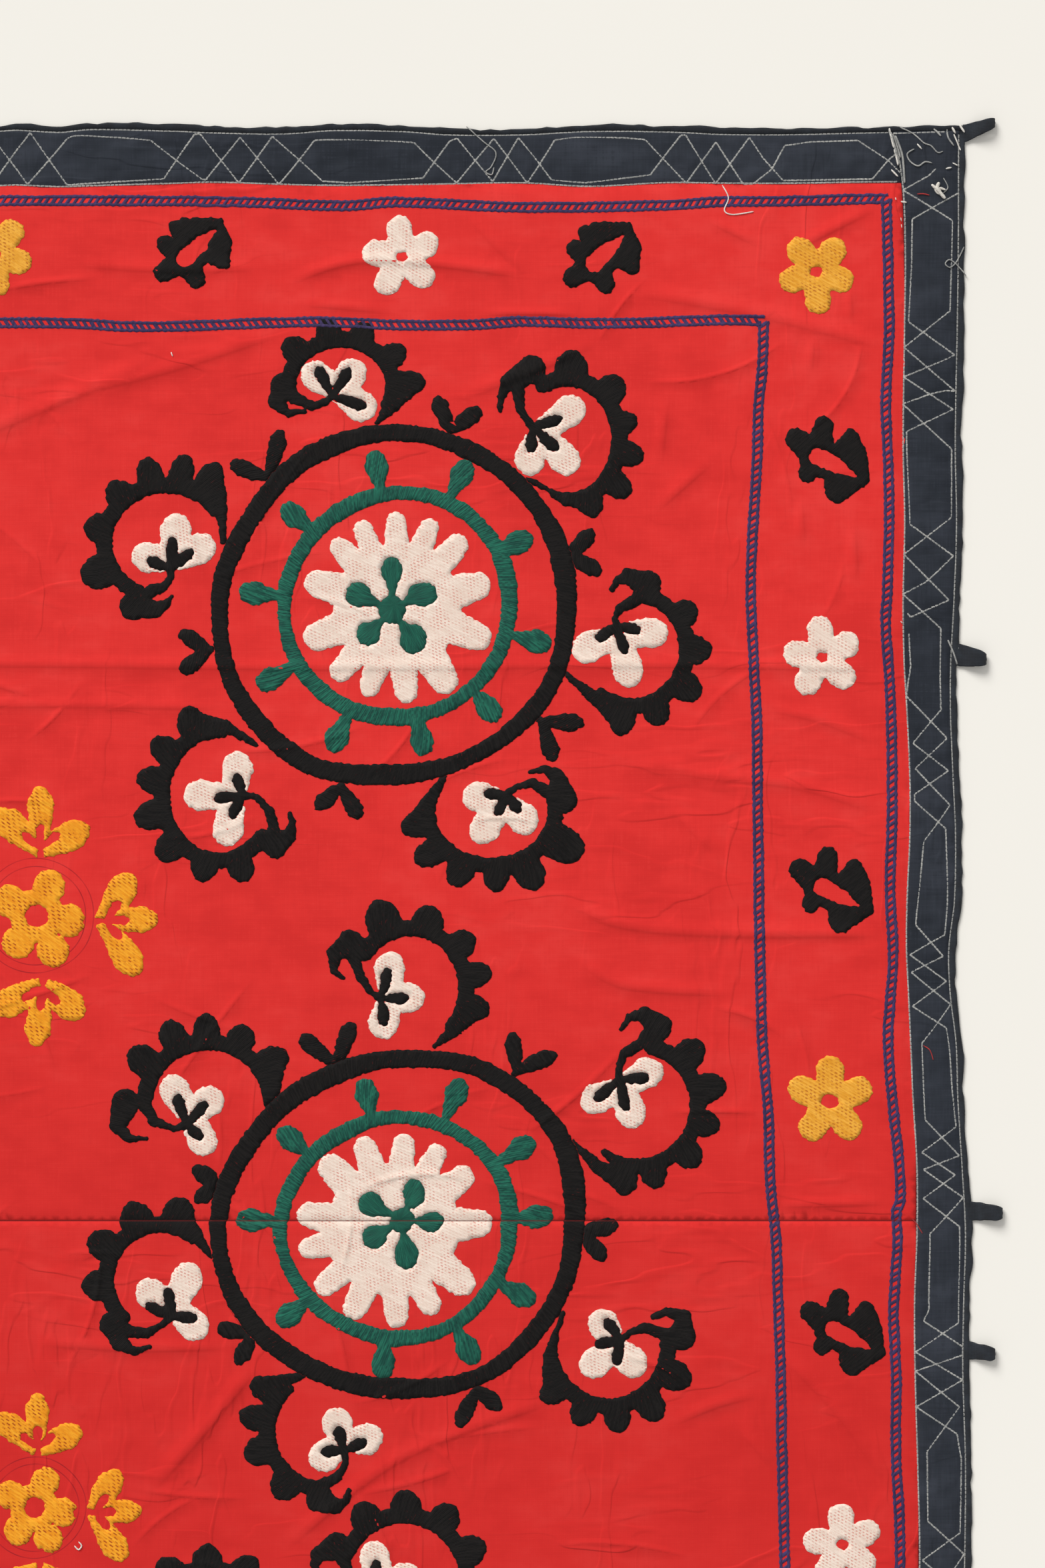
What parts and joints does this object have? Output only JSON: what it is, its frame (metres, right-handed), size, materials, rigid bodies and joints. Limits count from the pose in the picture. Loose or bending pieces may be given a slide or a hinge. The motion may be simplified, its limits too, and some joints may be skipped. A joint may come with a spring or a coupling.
{
  "type": "suzani embroidered textile",
  "caption": "Large flat red cotton cloth embroidered with scrolling medallions, with a quilted dark border, a taped edge and tape loops along one side.",
  "frame": {"origin": "centre of the bounding box at the underside, on the surface that the cloth lies on", "axes": "+X across the cloth towards the side with the loops, +Y up the cloth, +Z out of its embroidered face"},
  "size_m": [1.604, 1.819, 0.0078],
  "materials": {
    "red_cotton": "matte plain-woven cotton",
    "border_cotton": "matte plain-woven cotton, quilted",
    "edge_tape": "matte cotton tape",
    "black_thread": "soft sheen of laid embroidery thread",
    "cream_thread": "soft sheen of laid embroidery thread",
    "green_thread": "soft sheen of laid embroidery thread",
    "yellow_thread": "soft sheen of laid embroidery thread",
    "blue_thread": "soft sheen of chain-stitched thread",
    "grey_thread": "matte sewing thread"
  },
  "bodies": {
    "root": {"panel_upper": "red_cotton", "panel_lower": "red_cotton", "border_top": "border_cotton", "border_bottom": "border_cotton", "border_left": "border_cotton", "border_right": "border_cotton", "binding_top": "edge_tape", "binding_bottom": "edge_tape", "binding_left": "edge_tape", "binding_right": "edge_tape", "loop_1": "edge_tape", "loop_2": "edge_tape", "loop_3": "edge_tape", "loop_4": "edge_tape", "loop_5": "edge_tape", "loop_6": "edge_tape"}
  },
  "joints": []
}
